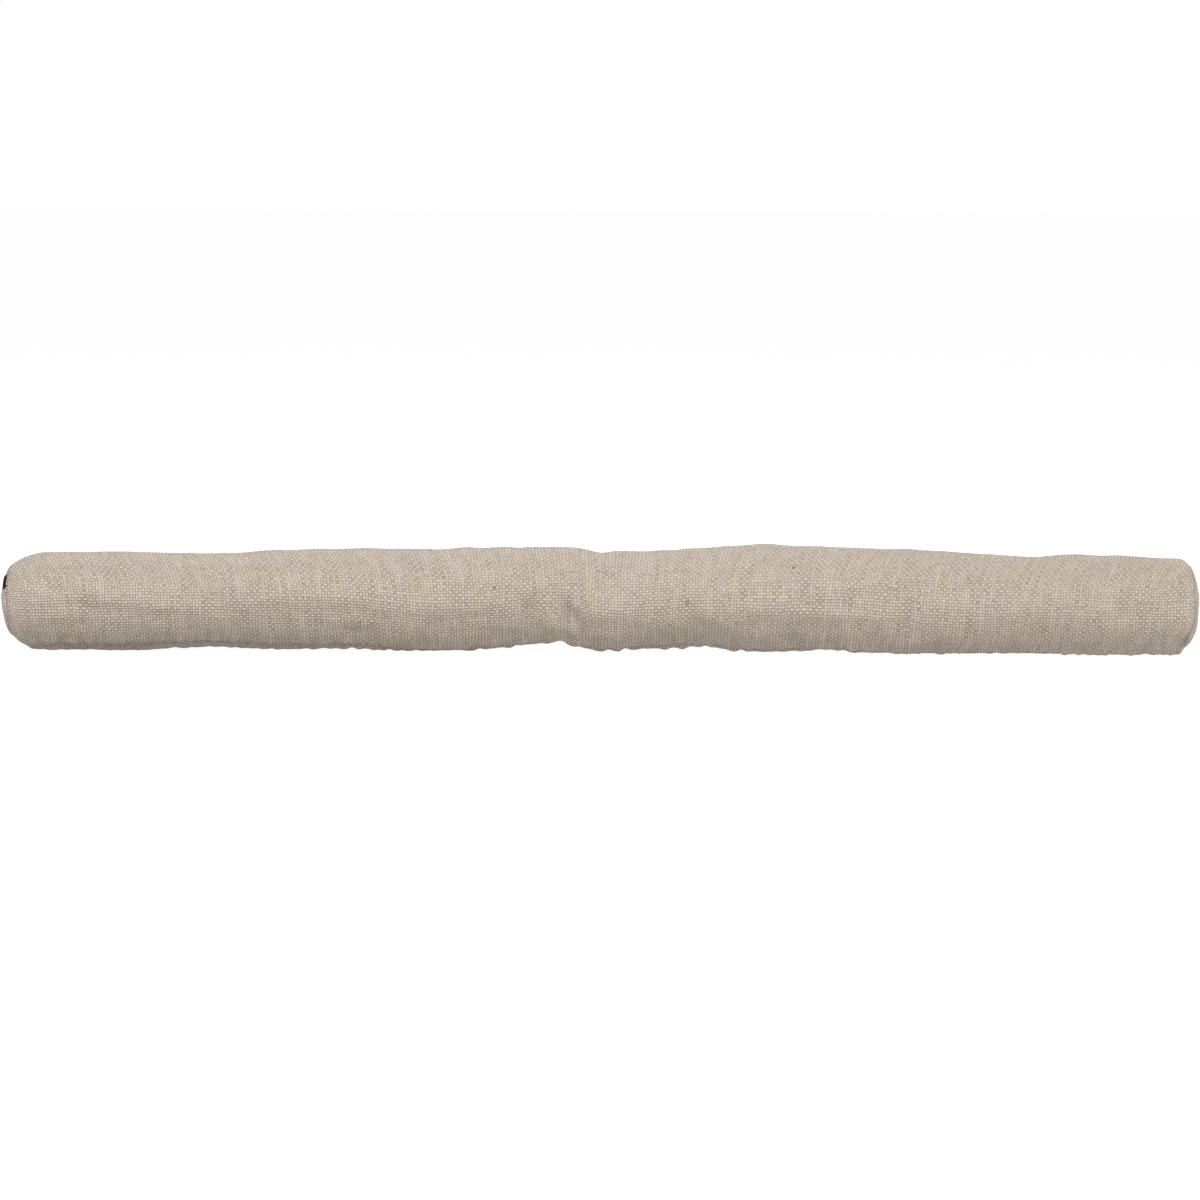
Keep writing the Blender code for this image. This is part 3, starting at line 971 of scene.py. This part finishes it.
CAMERA_DISTANCE = 2.6
CAMERA_ELEVATION = radians(8)
CAMERA_ROLL = radians(0.3)
VIEW_WIDTH = 0.9042  # metres across the frame at the tube's distance
AIM = Vector((0.0, 0.0, 0.0374))
FLOOR_REACH = 12.0
FLOOR_DROP = 0.0002
FLOOR_DARK = "#929292"
FLOOR_LIGHT = "#969696"
FLOOR_GRAIN = 3.0
FLOOR_GLOW_LEFT = 0.37
FLOOR_GLOW_RIGHT = 0.55
FLOOR_SEEN = 0.92
ROOM_GLOW = 0.23
ROOM_SEEN = 1.0


def glow(tree, on_things, seen):
    """The strength of a bright surface: on_things is what it throws on the tube, seen is how it looks."""
    path = add(tree, "ShaderNodeLightPath", {}, {})
    return add(
        tree,
        "ShaderNodeMapRange",
        {},
        {"Value": path.outputs["Is Camera Ray"], "To Min": on_things, "To Max": seen},
    ).outputs[0]


floor_material = bpy.data.materials.new("matt_white_table")
floor_material.use_nodes = True
floor_tree = floor_material.node_tree
floor_shader = floor_tree.nodes["Principled BSDF"]
floor_place = add(floor_tree, "ShaderNodeTexCoord", {}, {})
floor_grain = add(
    floor_tree, "ShaderNodeTexNoise", {}, {"Vector": floor_place.outputs["Object"], "Scale": FLOOR_GRAIN}
)
floor_shade = add(
    floor_tree,
    "ShaderNodeMix",
    {"data_type": "RGBA"},
    {0: floor_grain.outputs["Fac"], 6: linear(FLOOR_DARK), 7: linear(FLOOR_LIGHT)},
)
floor_tree.links.new(floor_shade.outputs[2], floor_shader.inputs["Base Color"])
floor_shader.inputs["Roughness"].default_value = 1.0
floor_shader.inputs["Specular IOR Level"].default_value = 0.0
floor_shader.inputs["Emission Color"].default_value = (1, 1, 1, 1)
floor_across = add(floor_tree, "ShaderNodeSeparateXYZ", {}, {0: floor_place.outputs["Object"]})
floor_glow = add(
    floor_tree,
    "ShaderNodeMapRange",
    {},
    {
        "Value": floor_across.outputs[0],
        "From Min": -LENGTH / 2,
        "From Max": LENGTH / 2,
        "To Min": FLOOR_GLOW_LEFT,
        "To Max": FLOOR_GLOW_RIGHT,
    },
)
floor_tree.links.new(
    glow(floor_tree, floor_glow.outputs[0], FLOOR_SEEN), floor_shader.inputs["Emission Strength"]
)
floor_mesh = bpy.data.meshes.new("floor")
floor_mesh.from_pydata(
    [(FLOOR_REACH * i, FLOOR_REACH * j, -FLOOR_DROP) for i, j in ((-1, -1), (1, -1), (1, 1), (-1, 1))],
    [],
    [(0, 1, 2, 3)],
)
floor = link("floor", floor_mesh, floor_material)

room = bpy.data.worlds.new("white_room")
room.use_nodes = True
room_light = room.node_tree.nodes["Background"]
room_light.inputs["Color"].default_value = (1, 1, 1, 1)
room.node_tree.links.new(glow(room.node_tree, ROOM_GLOW, ROOM_SEEN), room_light.inputs["Strength"])
bpy.context.scene.world = room

# Each lamp hangs at an angle above the floor and round from the front, at a distance from the tube.
Lamp = namedtuple("Lamp", "name above round distance width height watts")
LAMPS = (
    Lamp("overhead", radians(40), 0.0, 1.4, 0.8, 0.4, 13.4),
    Lamp("behind", radians(35), radians(180), 1.6, 0.9, 0.5, 9.0),
    Lamp("left", radians(30), radians(-78), 1.55, 0.8, 0.6, 8.5),
    Lamp("right", radians(23), radians(83), 1.6, 0.9, 0.7, 8.7),
)
for lamp in LAMPS:
    light = bpy.data.lights.new(lamp.name, "AREA")
    light.shape = "RECTANGLE"
    light.size, light.size_y = lamp.width, lamp.height
    light.energy = lamp.watts
    light_object = bpy.data.objects.new(lamp.name, light)
    bpy.context.scene.collection.objects.link(light_object)
    way = Vector((sin(lamp.round) * cos(lamp.above), -cos(lamp.round) * cos(lamp.above), sin(lamp.above)))
    turned = (-way).to_track_quat("-Z", "Y").to_matrix().to_4x4()
    light_object.matrix_world = Matrix.Translation(lamp.distance * way) @ turned

lens = bpy.data.cameras.new("camera")
lens.sensor_width = 36.0
lens.lens = lens.sensor_width * CAMERA_DISTANCE / VIEW_WIDTH
camera = bpy.data.objects.new("camera", lens)
bpy.context.scene.collection.objects.link(camera)
back = Vector((0, -cos(CAMERA_ELEVATION), sin(CAMERA_ELEVATION)))
aimed = (-back).to_track_quat("-Z", "Y").to_matrix().to_4x4()
rolled = Matrix.Rotation(CAMERA_ROLL, 4, "Z")
camera.matrix_world = Matrix.Translation(AIM + CAMERA_DISTANCE * back) @ aimed @ rolled
bpy.context.scene.camera = camera
bpy.context.scene.view_settings.view_transform = "Standard"
